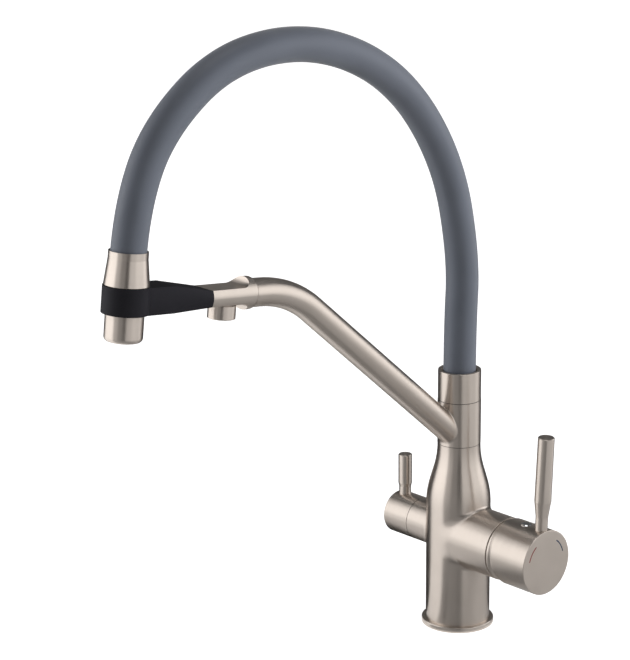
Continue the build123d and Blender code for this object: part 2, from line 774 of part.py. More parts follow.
barb_radius = water_hose_radius - water_hose_wall - barb_gap
hose_tail = turned(Plane.XZ, Axis.Z, [
    (tail_bore_radius, shoulder - tail_spigot_length),
    (core_counterbore_radius - running_fit, shoulder - tail_spigot_length),
    (core_counterbore_radius - running_fit, shoulder), (tail_flange_radius, shoulder),
    (tail_flange_radius, hose_foot), (barb_radius, hose_foot), (barb_radius, hose_foot + barb_length),
    (tail_bore_radius, hose_foot + barb_length)])
keep("hose_tail", hose_tail)

head_fitting = turned(head_side, head_axis, [
    (tail_bore_radius, head_thread_floor + head_washer_height),
    (head_thread_radius, head_thread_floor + head_washer_height),
    (head_thread_radius, head_flange_floor), (head_flange_radius, head_flange_floor),
    (head_flange_radius, head_mouth_floor), (barb_radius, head_mouth_floor),
    (barb_radius, hose_head_depth + barb_length / 2),
    (tail_bore_radius, hose_head_depth + barb_length / 2)])
keep("head_fitting", head_fitting)

# Spray head: one turned brass shell whose bell rests on the ring
with BuildPart() as head_shell:
    with BuildSketch(head_side):
        with BuildLine():
            Polyline((head_chamber_radius, head_bottom), (head_radius, head_bottom),
                     (head_radius, ring_top + seat_gap), (head_bell_radius, ring_top + seat_gap),
                     (head_top_radius, head_taper_start), (head_top_radius, head_top),
                     (head_mouth_radius, head_top), (head_mouth_radius, head_mouth_floor),
                     (head_flange_radius, head_mouth_floor), (head_flange_radius, head_flange_floor),
                     (head_thread_radius, head_flange_floor), (head_thread_radius, head_thread_floor),
                     (head_valve_radius, head_thread_floor), (head_valve_radius, head_valve_floor),
                     (head_chamber_radius, head_valve_floor), close=True)
        make_face()
    revolve(axis=head_axis)
    round_edges = head_shell.edges().filter_by(GeomType.CIRCLE)
    foot_edge = round_edges.group_by(head_axis)[0].sort_by(SortBy.LENGTH)[-1]
    fillet(foot_edge, head_bottom_round)
    bell_edge = head_shell.edges().filter_by(GeomType.CIRCLE).sort_by(SortBy.LENGTH)[-1]
    fillet(bell_edge, head_bell_edge)
keep("head_shell", head_shell)

head_washer = ring(head_side, head_axis, tail_bore_radius, head_thread_radius,
                   head_thread_floor, head_thread_floor + head_washer_height)
keep("head_washer", head_washer)

check_valve = ring(head_side, head_axis, tail_bore_radius, head_valve_radius,
                   head_valve_floor, head_thread_floor)
keep("check_valve", check_valve)

insert_foot = head_bottom + head_insert_inset
with BuildPart() as nozzle_insert:
    with BuildSketch(Plane(origin=dock_centre + upwards * insert_foot, x_dir=(1, 0, 0), z_dir=upwards)):
        Circle(head_chamber_radius)
        jet_holes(head_jet_rings)
    extrude(amount=head_insert_wall)
    with BuildSketch(Plane(origin=dock_centre + upwards * (insert_foot + head_insert_wall),
                           x_dir=(1, 0, 0), z_dir=upwards)):
        Circle(head_chamber_radius)
        Circle(head_chamber_radius - head_insert_wall, mode=Mode.SUBTRACT)
    extrude(amount=head_insert_top - insert_foot - head_insert_wall)
keep("nozzle_insert", nozzle_insert)

# Mixer cartridge: moulded housing, ceramic discs and a turning spindle that carries the lever
chamber_start = cartridge_seat + cartridge_base
fixed_disc_end = chamber_start + disc_thickness
moving_disc_end = fixed_disc_end + disc_thickness
with BuildPart() as mixer_cartridge:
    with BuildSketch(valve_side):
        with BuildLine():
            Polyline((cartridge_seat, 0), (cartridge_seat, cartridge_radius),
                     (cartridge_body_end, cartridge_radius),
                     (cartridge_body_end, cartridge_neck_radius),
                     (cartridge_neck_end, cartridge_neck_radius),
                     (cartridge_neck_end, spindle_radius + running_fit),
                     (cartridge_body_end, spindle_radius + running_fit),
                     (cartridge_body_end, disc_radius + seat_gap), (chamber_start, disc_radius + seat_gap),
                     (chamber_start, 0), close=True)
        make_face()
    revolve(axis=valve_axis)
    with BuildSketch(across(cartridge_seat)):
        with Locations(*supply_ports):
            Circle(supply_port_radius)
        with Locations(mixed_port):
            Circle(mixed_port_radius)
    extrude(amount=cartridge_base, mode=Mode.SUBTRACT)
keep("mixer_cartridge", mixer_cartridge)

with BuildPart() as fixed_disc:
    with BuildSketch(across(chamber_start)):
        Circle(disc_radius)
        with Locations(*supply_ports):
            Circle(supply_port_radius, mode=Mode.SUBTRACT)
        with Locations(mixed_port):
            Circle(mixed_port_radius, mode=Mode.SUBTRACT)
    extrude(amount=disc_thickness)
keep("fixed_disc", fixed_disc)

with BuildPart() as moving_disc:
    with BuildSketch(across(fixed_disc_end)):
        Circle(disc_radius - slip_gap)
        Circle(mixing_bore_radius, mode=Mode.SUBTRACT)
    extrude(amount=disc_thickness)
keep("moving_disc", moving_disc)

with BuildPart() as mixer_spindle:
    with BuildSketch(across(moving_disc_end)):
        Circle(spindle_flange_radius)
    extrude(amount=cartridge_body_end - moving_disc_end - seat_gap)
    with BuildSketch(across(moving_disc_end)):
        Circle(spindle_radius)
    extrude(amount=spindle_end - moving_disc_end)
    with BuildSketch(across(spindle_slot_floor)):
        Rectangle(lever_bar_width + 2 * seat_gap, 3 * spindle_radius)
    extrude(amount=spindle_end, mode=Mode.SUBTRACT)
    with BuildSketch(Plane(origin=(lever_pivot, 0, valve_height), z_dir=(0, 1, 0))):
        Circle(pivot_pin_radius)
    extrude(amount=spindle_radius, both=True, mode=Mode.SUBTRACT)
keep("mixer_spindle", mixer_spindle)

pin_half_length = spindle_radius - pivot_pin_radius
with BuildPart() as lever_pivot_pin:
    with BuildSketch(Plane(origin=(lever_pivot, 0, valve_height), z_dir=(0, 1, 0))):
        Circle(pivot_pin_radius)
    extrude(amount=pin_half_length, both=True)
keep("lever_pivot_pin", lever_pivot_pin)

with BuildPart() as lever_bar:
    with BuildSketch(across(lever_bar_start)):
        Rectangle(lever_bar_width, lever_bar_width)
    extrude(amount=lever_bar_end - lever_bar_start)
    with BuildSketch(Plane(origin=(lever_pivot, 0, valve_height), z_dir=(0, 1, 0))):
        Circle(pivot_pin_radius + running_fit)
    extrude(amount=lever_bar_width, both=True, mode=Mode.SUBTRACT)
keep("lever_bar", lever_bar)

cartridge_nut = ring(valve_side, valve_axis, cartridge_neck_radius, nut_radius,
                     cartridge_body_end, nut_end, True)
keep("cartridge_nut", cartridge_nut)

# Cover ring: the beaded collar seen between the valve and the cap, with a groove before the cap
cover_start = mixer_branch_end + seat_gap
cover_bead_end = cover_start + cover_bead_width
cover_bead_edge = cover_radius - cover_bead_drop
with BuildPart() as cover_ring:
    with BuildSketch(valve_side):
        with BuildLine():
            bead = ThreePointArc((cover_start, cover_bead_edge),
                                 ((cover_start + cover_bead_end) / 2, cover_radius),
                                 (cover_bead_end, cover_bead_edge))
            Polyline(bead @ 1, (cover_groove_start, cover_groove_radius),
                     (cover_end, cover_groove_radius), (cover_end, cover_bore_radius),
                     (nut_end, cover_bore_radius), (nut_end, nut_radius),
                     (cover_start, nut_radius), bead @ 0)
        make_face()
    revolve(axis=valve_axis)
keep("cover_ring", cover_ring)

lever_direction = Vector(sin(radians(lever_lean)), 0, cos(radians(lever_lean)))
lever_origin = Vector(lever_foot, 0, valve_height)


def along_lever(distance):
    """Plane square to the mixer's lever post."""
    return Plane(origin=lever_origin + lever_direction * distance, z_dir=lever_direction)


# Mixer cap: hollow zinc casting, its rear rim slanted so that the lever can be pulled outwards
with BuildPart() as mixer_cap:
    with BuildSketch(across(mixer_branch_end)):
        Circle(cap_radius)
    extrude(amount=cap_face - mixer_branch_end)
    fillet(mixer_cap.edges().filter_by(GeomType.CIRCLE).sort_by(Axis.X)[-1], cap_edge)
    slanted = Plane(origin=(cap_rim, 0, valve_height), x_dir=(0, 1, 0),
                    z_dir=(cos(radians(cap_rim_slant)), 0, sin(radians(cap_rim_slant))))
    split(bisect_by=slanted, keep=Keep.TOP)
    rim_edge = mixer_cap.edges().filter_by(GeomType.ELLIPSE)[0]
    outside = mixer_cap.faces().filter_by(GeomType.CYLINDER).sort_by(SortBy.AREA)[-1]
    chamfer(rim_edge, cap_rim_bevel, cap_rim_bevel_depth, reference=outside)
    with BuildSketch(valve_side):
        with BuildLine():
            Polyline((0, 0), (cap_cavity_end, 0), (cap_cavity_end, cap_boss_radius),
                     (cap_solid_start, cap_boss_radius),
                     (cap_solid_start, cap_radius - cap_wall), (cap_cavity_end, cap_radius - cap_wall),
                     (cap_cavity_end, cap_step_radius), (cap_step, cap_step_radius),
                     (cap_step, cap_radius - cap_rim_wall), (0, cap_radius - cap_rim_wall), close=True)
        make_face()
    revolve(axis=valve_axis, mode=Mode.SUBTRACT)
    with BuildSketch(across(cap_cavity_end)):
        Rectangle(lever_bar_width, lever_bar_width)
    extrude(amount=lever_bar_end - cap_cavity_end, mode=Mode.SUBTRACT)
    with BuildSketch(Plane(origin=(set_screw_place, 0, valve_height))):
        Circle(set_screw_radius)
    extrude(amount=cap_boss_radius, mode=Mode.SUBTRACT)
    with BuildSketch(Plane(origin=(set_screw_place, 0, valve_height + cap_boss_radius))):
        Circle(plug_cap_radius)
    extrude(amount=cap_radius, mode=Mode.SUBTRACT)
    with BuildSketch(along_lever(lever_spigot_start)):
        Circle(lever_spigot_radius)
    extrude(amount=lever_spigot_end - lever_spigot_start, mode=Mode.SUBTRACT)
    with BuildSketch(along_lever(lever_spigot_end)):
        Circle(lever_neck_radius)
    extrude(amount=cap_radius, mode=Mode.SUBTRACT)
    with BuildSketch(across(cap_face - mark_depth)):
        for place in (mark_place, -mark_place):
            with BuildLine():
                groove = CenterArc((0, 0), mark_circle_radius, 90 + place - mark_sweep / 2, mark_sweep)
            SlotArc(groove, mark_width)
    extrude(amount=mark_depth, mode=Mode.SUBTRACT)
keep("mixer_cap", mixer_cap)


def mark(place):
    """An enamel arc let into the cap's face, its middle so many degrees from the lever."""
    with BuildPart() as piece:
        with BuildSketch(across(cap_face - mark_depth)):
            with BuildLine():
                line = CenterArc((0, 0), mark_circle_radius, 90 + place - mark_sweep / 2, mark_sweep)
            SlotArc(line, mark_width)
        extrude(amount=mark_depth)
    return piece


keep("hot_mark", mark(mark_place))
keep("cold_mark", mark(-mark_place))

# Mixer lever post: turned bar on a threaded spigot
lever_across = Vector(cos(radians(lever_lean)), 0, -sin(radians(lever_lean)))
lever_side = Plane(origin=lever_origin, x_dir=lever_across, z_dir=(0, -1, 0))
with BuildPart() as mixer_lever:
    with BuildSketch(lever_side):
        with BuildLine():
            Polyline((0, lever_spigot_start), (lever_spigot_radius, lever_spigot_start),
                     (lever_spigot_radius, lever_spigot_end), (lever_neck_radius, lever_spigot_end),
                     (lever_neck_radius, lever_neck_end), (lever_radius, lever_cone_end),
                     (lever_top_radius, lever_length), (0, lever_length), close=True)
        make_face()
    revolve(axis=Axis(lever_origin, lever_direction))
    round_edges = mixer_lever.edges().filter_by(GeomType.CIRCLE)
    chamfer(round_edges.sort_by(Axis(lever_origin, lever_direction))[-1], edge_break)
keep("mixer_lever", mixer_lever)

set_screw = ring(Plane(origin=(set_screw_place, 0, valve_height), x_dir=(1, 0, 0), z_dir=(0, -1, 0)),
                 Axis((set_screw_place, 0, valve_height), (0, 0, 1)), 0, set_screw_radius,
                 lever_bar_width / 2, set_screw_end)
keep("set_screw", set_screw)

# Screw plug: a small polished dome that hides the set screw
plug_side = Plane(origin=(set_screw_place, 0, valve_height), x_dir=(1, 0, 0), z_dir=(0, -1, 0))
plug_low = cap_radius - plug_cap_depth
crown_ball = (plug_cap_radius ** 2 + plug_cap_crown ** 2) / (2 * plug_cap_crown)
crown_half = atan2(plug_cap_radius, crown_ball - plug_cap_crown) / 2
crown_top = cap_radius + plug_cap_crown
crown_shoulder = crown_top - crown_ball * (1 - cos(crown_half))
with BuildPart() as screw_plug:
    with BuildSketch(plug_side):
        with BuildLine():
            wall = Polyline((0, plug_low), (plug_cap_radius, plug_low), (plug_cap_radius, cap_radius))
            crown = ThreePointArc(wall @ 1, (crown_ball * sin(crown_half), crown_shoulder), (0, crown_top))
            Line(crown @ 1, wall @ 0)
        make_face()
    revolve(axis=Axis((set_screw_place, 0, valve_height), (0, 0, 1)))
keep("screw_plug", screw_plug)

# Filtered-water headwork: brass body, ceramic discs and a quarter-turn spindle
filter_fixed_end = filter_seat + filter_disc_thickness
filter_moving_end = filter_fixed_end + filter_disc_thickness
filter_headwork = turned(filter_side, valve_axis, [
    (filter_seat, filter_disc_radius), (filter_seat, headwork_radius), (headwork_end, headwork_radius),
    (headwork_end, filter_spindle_radius + running_fit),
    (headwork_chamber_end, filter_spindle_radius + running_fit),
    (headwork_chamber_end, headwork_chamber_radius), (filter_fixed_end, headwork_chamber_radius),
    (filter_fixed_end, filter_disc_radius)])
keep("filter_headwork", filter_headwork)

with BuildPart() as filter_fixed_disc:
    with BuildSketch(across(-filter_seat)):
        Circle(filter_disc_radius)
        with Locations((0, -filter_port_offset), (0, filter_port_offset)):
            Circle(filtered_bore_radius, mode=Mode.SUBTRACT)
    extrude(amount=-filter_disc_thickness)
keep("filter_fixed_disc", filter_fixed_disc)

with BuildPart() as filter_moving_disc:
    with BuildSketch(across(-filter_fixed_end)):
        Circle(filter_disc_radius - slip_gap)
        with Locations((-filter_port_offset, 0), (filter_port_offset, 0)):
            Circle(filtered_bore_radius, mode=Mode.SUBTRACT)
    extrude(amount=-filter_disc_thickness)
keep("filter_moving_disc", filter_moving_disc)

filter_spindle = ring(filter_side, valve_axis, 0, filter_spindle_radius,
                      filter_moving_end, filter_spindle_end, True)
keep("filter_spindle", filter_spindle)

filter_cap_start = filter_branch_end + filter_cap_gap
with BuildPart() as filter_cap:
    with BuildSketch(filter_side):
        with BuildLine():
            Polyline((filter_cap_start, filter_cap_cavity_radius), (filter_cap_start, filter_branch_radius),
                     (filter_cap_face, filter_branch_radius), (filter_cap_face, 0), (filter_spindle_end, 0),
                     (filter_spindle_end, filter_spindle_radius),
                     (filter_cap_cavity_end, filter_spindle_radius),
                     (filter_cap_cavity_end, filter_cap_cavity_radius), close=True)
        make_face()
    revolve(axis=valve_axis)
    fillet(filter_cap.edges().filter_by(GeomType.CIRCLE).sort_by(Axis.X)[0], filter_cap_edge)
    with BuildSketch(Plane(origin=(-filter_lever_place, 0, valve_height + filter_spigot_start))):
        Circle(filter_spigot_radius)
    extrude(amount=filter_spigot_end - filter_spigot_start, mode=Mode.SUBTRACT)
    with BuildSketch(Plane(origin=(-filter_lever_place, 0, valve_height + filter_spigot_end))):
        Circle(filter_lever_neck_radius)
    extrude(amount=filter_branch_radius, mode=Mode.SUBTRACT)
    with BuildSketch(Plane(origin=(-filter_screw_place, 0, valve_height), z_dir=(0, 0, -1))):
        Circle(filter_screw_radius)
    extrude(amount=filter_branch_radius + overrun, mode=Mode.SUBTRACT)
keep("filter_cap", filter_cap)

with BuildPart() as filter_set_screw:
    screw_mouth = (-filter_screw_place, 0, valve_height - filter_spindle_radius)
    with BuildSketch(Plane(origin=screw_mouth, z_dir=(0, 0, -1))):
        Circle(filter_screw_radius)
    extrude(amount=filter_screw_end - filter_spindle_radius)
keep("filter_set_screw", filter_set_screw)

filter_lever_axis = Axis((-filter_lever_place, 0, valve_height), (0, 0, 1))
with BuildPart() as filter_lever:
    lever_root = (-filter_lever_place, 0, valve_height)
    with BuildSketch(Plane(origin=lever_root, x_dir=(1, 0, 0), z_dir=(0, -1, 0))):
        with BuildLine():
            Polyline((0, filter_spigot_start), (filter_spigot_radius, filter_spigot_start),
                     (filter_spigot_radius, filter_spigot_end),
                     (filter_lever_neck_radius, filter_spigot_end),
                     (filter_lever_neck_radius, filter_lever_neck_end),
                     (filter_lever_radius, filter_lever_cone_end),
                     (filter_lever_radius, filter_lever_length), (0, filter_lever_length), close=True)
        make_face()
    revolve(axis=filter_lever_axis)
    chamfer(filter_lever.edges().filter_by(GeomType.CIRCLE).sort_by(Axis.Z)[-1], edge_break)
keep("filter_lever", filter_lever)
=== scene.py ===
from math import cos, pi, radians, sin

import bpy
from mathutils import Matrix, Vector


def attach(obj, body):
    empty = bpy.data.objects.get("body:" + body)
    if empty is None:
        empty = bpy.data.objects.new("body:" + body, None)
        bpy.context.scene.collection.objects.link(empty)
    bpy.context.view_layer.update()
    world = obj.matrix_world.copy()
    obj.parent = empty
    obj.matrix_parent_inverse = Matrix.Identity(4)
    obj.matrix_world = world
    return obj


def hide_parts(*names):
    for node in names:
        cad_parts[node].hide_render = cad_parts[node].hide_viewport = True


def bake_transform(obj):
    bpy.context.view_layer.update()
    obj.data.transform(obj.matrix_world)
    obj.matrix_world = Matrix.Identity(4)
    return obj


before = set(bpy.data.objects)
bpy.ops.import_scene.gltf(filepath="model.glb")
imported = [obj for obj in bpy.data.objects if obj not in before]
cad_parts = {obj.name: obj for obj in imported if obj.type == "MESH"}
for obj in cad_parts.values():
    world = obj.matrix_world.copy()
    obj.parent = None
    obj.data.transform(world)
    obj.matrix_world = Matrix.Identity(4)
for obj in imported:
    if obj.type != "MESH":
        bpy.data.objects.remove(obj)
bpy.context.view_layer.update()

# Camera: a long lens at the tap's right front, sixteen degrees above level and a hair off
# upright, as the tap was pictured.
azimuth, pitch, roll = radians(47.848), radians(15.944), radians(-0.431)
camera_place = (1.1827, -1.2079, 0.7013)
camera_back = Vector((sin(azimuth) * cos(pitch), -cos(azimuth) * cos(pitch), sin(pitch)))
level = Vector((cos(azimuth), sin(azimuth), 0))
upright = camera_back.cross(level)
camera_right = level * cos(roll) + upright * sin(roll)
camera_top = upright * cos(roll) - level * sin(roll)
camera = bpy.data.objects.new("camera", bpy.data.cameras.new("camera"))
camera.data.lens = 136.36
bpy.context.scene.collection.objects.link(camera)
camera.matrix_world = Matrix.Translation(camera_place) @ Matrix(
    (camera_right, camera_top, camera_back)).transposed().to_4x4()
bpy.context.scene.camera = camera

# Hose: a slate-grey silicone tube drawn over a steel coil and the water hose, 540 mm long. It is
# pushed over the brass tail in the collar and over the fitting in the spray head, and stands up
# in a bow by its own stiffness.
hose_radius = 0.0115
hose_route = [
    (0, 0, 0.1860), (0, 0, 0.2200), (0, 0.0030, 0.2700), (0, -0.0135, 0.3430),
    (0, -0.0620, 0.4070), (0, -0.1350, 0.4403), (0, -0.2110, 0.4375), (0, -0.2655, 0.3995),
    (0, -0.2884, 0.3526), (0, -0.2923, 0.3191)]


def hose_line(name, radius=0.0, around=8):
    """The hose's smooth line as a curve, with a round section of that radius."""
    curve = bpy.data.curves.new(name, "CURVE")
    curve.dimensions = "3D"
    curve.resolution_u = 24
    curve.bevel_depth = radius
    curve.bevel_resolution = around
    curve.use_fill_caps = True
    spline = curve.splines.new("NURBS")
    spline.points.add(len(hose_route) - 1)
    for point, place in zip(spline.points, hose_route):
        point.co = (*place, 1)
    spline.order_u = 3
    spline.use_endpoint_u = True
    line = bpy.data.objects.new(name, curve)
    bpy.context.scene.collection.objects.link(line)
    return line


def drawn_mesh(curve_object):
    """The mesh that the curve draws; the curve goes."""
    mesh = bpy.data.meshes.new_from_object(curve_object.evaluated_get(
        bpy.context.evaluated_depsgraph_get()))
    bpy.data.objects.remove(curve_object)
    return mesh


def curve_piece(curve_object, name, material):
    """The curve as a smooth piece of its own in one material."""
    mesh = drawn_mesh(curve_object)
    mesh.name = name
    mesh.shade_smooth()
    mesh.materials.append(material)
    piece = bpy.data.objects.new(name, mesh)
    bpy.context.scene.collection.objects.link(piece)
    return piece


hose_path = [point.co.copy() for point in drawn_mesh(hose_line("bare_line")).vertices]


def linear(code):
    """A colour written as sRGB hex, as linear red, green, blue and alpha."""
    parts = [int(code[i:i + 2], 16) / 255 for i in (1, 3, 5)]
    return [c / 12.92 if c <= 0.04045 else ((c + 0.055) / 1.055) ** 2.4 for c in parts] + [1]


def add_node(material, kind, settings=(), **links):
    """One node of a material with its settings; links name its inputs by their words."""
    node = material.node_tree.nodes.new(kind)
    for key, value in dict(settings).items():
        if isinstance(key, str) and hasattr(node, key):
            setattr(node, key, value)
        else:
            node.inputs[key].default_value = value
    for key, output in links.items():
        number = key.rsplit("_", 1)[-1]
        socket = node.inputs[int(number) if number.isdigit() else key.replace("_", " ")]
        material.node_tree.links.new(output, socket)
    return node


def new_material(name, **constants):
    """An empty material with one Principled shader, and that shader."""
    material = bpy.data.materials.new(name)
    material.use_nodes = True
    material.node_tree.nodes.clear()
    shader = add_node(material, "ShaderNodeBsdfPrincipled",
                      {key.replace("_", " "): value for key, value in constants.items()})
    add_node(material, "ShaderNodeOutputMaterial", Surface=shader.outputs[0])
    return material, shader


def join(material, shader, **outputs):
    """Links outputs to the shader's inputs, named by their words."""
    for key, output in outputs.items():
        material.node_tree.links.new(output, shader.inputs[key.replace("_", " ")])


def per_metre(size):
    """The scale of a pattern whose spots are that many millimetres across."""
    return 1000 / size


# Silicone, extruded smooth: a soft matte skin with a faint bloom towards its edges. The tube's
# slow change of tone runs in patches of 36 mm. Its fine pits are drawn 1.1 mm apart, coarser
# than the real ones, so that they show.
silicone, shader = new_material("extruded_silicone", IOR=1.41, Sheen_Weight=0.25,
                                Sheen_Roughness=0.45)
place = add_node(silicone, "ShaderNodeTexCoord").outputs["Object"]
skin = add_node(silicone, "ShaderNodeTexNoise", {"Scale": per_metre(1.1), "Detail": 3},
                Vector=place)
patches = add_node(silicone, "ShaderNodeTexNoise", {"Scale": per_metre(36), "Detail": 2},
                   Vector=place)
tone = add_node(silicone, "ShaderNodeMix", {"data_type": "RGBA", 6: linear("#50555F"),
                7: linear("#5A5F6A")}, Factor=patches.outputs["Fac"])
dull = add_node(silicone, "ShaderNodeMapRange", {"To Min": 0.42, "To Max": 0.55},
                Value=patches.outputs["Fac"])
pits = add_node(silicone, "ShaderNodeBump", {"Strength": 0.25, "Distance": 0.00003},
                Height=skin.outputs["Fac"])
join(silicone, shader, Base_Color=tone.outputs[2], Roughness=dull.outputs[0],
     Normal=pits.outputs[0])
silicone_tube = curve_piece(hose_line("tube_line", hose_radius, around=14), "silicone_tube",
                            silicone)

# Coil: round steel wire, close wound inside the silicone, which holds the bow. It is wound in
# turns 4.2 mm apart from wire 1.3 mm thick, drawn hard and smooth.
coil_pitch, wire_radius, coil_radius = 0.0042, 0.00065, 0.00795
points_a_turn = 14
coil = bpy.data.curves.new("coil_wire", "CURVE")
coil.dimensions = "3D"
coil.bevel_depth = wire_radius
coil.bevel_resolution = 1
coil.use_fill_caps = True
sideways = Vector((1, 0, 0))
reached, coil_points = 0.0, []
for near, far in zip(hose_path, hose_path[1:]):
    run = (far - near).length
    out = sideways.cross((far - near).normalized())
    count = max(1, round(run / coil_pitch * points_a_turn))
    for share in (k / count for k in range(count)):
        turn = 2 * pi * (reached + run * share) / coil_pitch
        coil_points.append(near.lerp(far, share)
                           + (sideways * cos(turn) + out * sin(turn)) * coil_radius)
    reached += run
wire = coil.splines.new("POLY")
wire.points.add(len(coil_points) - 1)
for point, spot in zip(wire.points, coil_points):
    point.co = (*spot, 1)
coil_line = bpy.data.objects.new("coil_wire", coil)
bpy.context.scene.collection.objects.link(coil_line)


def mottled(name, darker, lighter, spot, smoothest, roughest, detail=2, **constants):
    """A finish in two close tones, a little glossier in one than in the other, in soft spots of
    a size in millimetres. Where real grain is finer, the spots are drawn coarse enough to show."""
    material, shader = new_material(name, **constants)
    place = add_node(material, "ShaderNodeTexCoord").outputs["Object"]
    spots = add_node(material, "ShaderNodeTexNoise", {"Scale": per_metre(spot),
                     "Detail": detail}, Vector=place)
    tone = add_node(material, "ShaderNodeMix", {"data_type": "RGBA", 6: linear(darker),
                    7: linear(lighter)}, Factor=spots.outputs["Fac"])
    dull = add_node(material, "ShaderNodeMapRange", {"To Min": smoothest, "To Max": roughest},
                    Value=spots.outputs["Fac"])
    join(material, shader, Base_Color=tone.outputs[2], Roughness=dull.outputs[0])
    return material


# Drawn steel wire gives a cool grey with bright lines along each turn.
drawn_steel = mottled("drawn_steel_wire", "#A9A9A8", "#BDBDBB", spot=0.7, smoothest=0.25,
                      roughest=0.4, Metallic=1)
steel_coil = curve_piece(coil_line, "steel_coil", drawn_steel)

# Water hose: black rubber under a woven cover, threaded through the coil and crimped to the
# fitting. The rubber is dull, and its weave is drawn as ribs 1.5 mm apart, coarser than the real
# threads, so that it shows.
water_radius, rib_gap = 0.0071, 0.0015
rubber, shader = new_material("black_hose_rubber", Roughness=0.6, IOR=1.52)
place = add_node(rubber, "ShaderNodeTexCoord").outputs["Object"]
diagonal_bands = 10 * 3 ** 0.5 / (2 * pi)  # ribs across one unit of a diagonal wave, at scale 1
weave = add_node(rubber, "ShaderNodeTexWave", {"bands_direction": "DIAGONAL",
                 "Scale": 1 / (rib_gap * diagonal_bands), "Distortion": 1.5, "Detail": 1},
                 Vector=place)
tone = add_node(rubber, "ShaderNodeMix", {"data_type": "RGBA", 6: linear("#1A1A1B"),
                7: linear("#262627")}, Factor=weave.outputs["Fac"])
ribs = add_node(rubber, "ShaderNodeBump", {"Strength": 0.5, "Distance": 0.0002},
                Height=weave.outputs["Fac"])
join(rubber, shader, Base_Color=tone.outputs[2], Normal=ribs.outputs[0])
water_tube = curve_piece(hose_line("water_line", water_radius), "water_tube", rubber)

# The three layers run between the collar on the column and the spray head, in place of the CAD's
# hose, coil and water hose, which are hidden.
for tube, node, finish in ((silicone_tube, "silicone_hose", "grey_silicone"),
                           (steel_coil, "support_spring", "steel"),
                           (water_tube, "water_hose", "hose_rubber")):
    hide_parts(node)
    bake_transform(tube)

# Column: a brass casting turned to a bottle shape, with a branch to each valve. It is brushed
# round and round and plated with nickel, and so are its flange, the swivel sleeve and the
# hose's collar.
sky, east = Vector((0, 0, 1)), Vector((1, 0, 0))
column_radius, mixer_branch_radius = 0.023, 0.0226
valve_middle = Vector((0, 0, 0.068))


def dress(material, *names):
    """Gives CAD nodes a material."""
    for name in names:
        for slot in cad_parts[name].material_slots:
            slot.material = material


def brushed_nickel(name, middle, axis, second=None, beyond=None):
    """Nickel plate over metal brushed round an axis: a warm grey satin whose highlights draw out
    along the axis and stay narrow across it. Past a place, the brushing goes round a second axis.
    The strokes are drawn 25 mm long and 0.5 mm apart, coarser than real ones, so that they
    show, and handling dulls the metal in patches of 18 mm."""
    stroke_length, stroke_gap = 0.025, 0.0005
    material, shader = new_material(name, Metallic=1, Anisotropic=0.82, Anisotropic_Rotation=0.25)
    place = add_node(material, "ShaderNodeTexCoord").outputs["Object"]

    def round_axis(middle, axis):
        """Direction of the brush strokes, and the place measured in strokes and gaps."""
        arm = add_node(material, "ShaderNodeVectorMath", {"operation": "SUBTRACT", 1: middle},
                       Vector=place)
        stroke = add_node(material, "ShaderNodeVectorMath", {"operation": "CROSS_PRODUCT",
                          0: axis}, input_1=arm.outputs[0])
        turned = add_node(material, "ShaderNodeMapping", {"vector_type": "TEXTURE",
                          "Location": middle,
                          "Rotation": sky.rotation_difference(axis).to_euler(),
                          "Scale": (stroke_length, stroke_length, stroke_gap)}, Vector=place)
        return stroke.outputs[0], turned.outputs[0]

    stroke, lines = round_axis(middle, axis)
    if second:
        share = beyond(material, place)
        other_stroke, other_lines = round_axis(*second)
        stroke = add_node(material, "ShaderNodeMix", {"data_type": "VECTOR"}, input_0=share,
                          input_4=stroke, input_5=other_stroke).outputs[1]
        lines = add_node(material, "ShaderNodeMix", {"data_type": "VECTOR"}, input_0=share,
                         input_4=lines, input_5=other_lines).outputs[1]
    brush = add_node(material, "ShaderNodeTexNoise", {"Scale": 1, "Detail": 3,
                     "Roughness": 0.6}, Vector=lines)
    handling = add_node(material, "ShaderNodeTexNoise", {"Scale": per_metre(18), "Detail": 2},
                        Vector=place)
    tone = add_node(material, "ShaderNodeMix", {"data_type": "RGBA", 6: linear("#C4BAB1"),
                    7: linear("#CEC4BB")}, Factor=handling.outputs["Fac"])
    worn = add_node(material, "ShaderNodeMapRange", {"To Min": -0.03, "To Max": 0.03},
                    Value=handling.outputs["Fac"])
    grain = add_node(material, "ShaderNodeMapRange", {"From Min": 0.3, "From Max": 0.7,
                     "To Min": 0.3, "To Max": 0.38}, Value=brush.outputs["Fac"])
    dull = add_node(material, "ShaderNodeMath", {"operation": "ADD"}, input_0=grain.outputs[0],
                    input_1=worn.outputs[0])
    scratch = add_node(material, "ShaderNodeBump", {"Strength": 0.3, "Distance": 0.00001},
                       Height=brush.outputs["Fac"])
    along = add_node(material, "ShaderNodeVectorTransform", {"vector_type": "VECTOR",
                     "convert_from": "OBJECT", "convert_to": "WORLD"}, Vector=stroke)
    join(material, shader, Base_Color=tone.outputs[2], Roughness=dull.outputs[0],
         Normal=scratch.outputs[0], Tangent=along.outputs[0])
    return material


def outside_column(material, place):
    """1 on the branches, which stand out of the column, and 0 on the column."""
    column_skin, branch_start = 0.0229, 0.0262
    across = add_node(material, "ShaderNodeVectorMath", {"operation": "MULTIPLY",
                      1: (1, 1, 0)}, Vector=place)
    far = add_node(material, "ShaderNodeVectorMath", {"operation": "LENGTH"},
                   Vector=across.outputs[0])
    return add_node(material, "ShaderNodeMapRange", {"From Min": column_skin,
                    "From Max": branch_start}, Value=far.outputs["Value"]).outputs[0]


column_nickel = brushed_nickel("nickel_brushed_round_the_column", Vector(), sky)
branch_nickel = brushed_nickel("nickel_brushed_round_column_and_branches", Vector(), sky,
                               (valve_middle, east), outside_column)
dress(branch_nickel, "body")
dress(column_nickel, "base_flange", "arm_sleeve", "hose_collar")


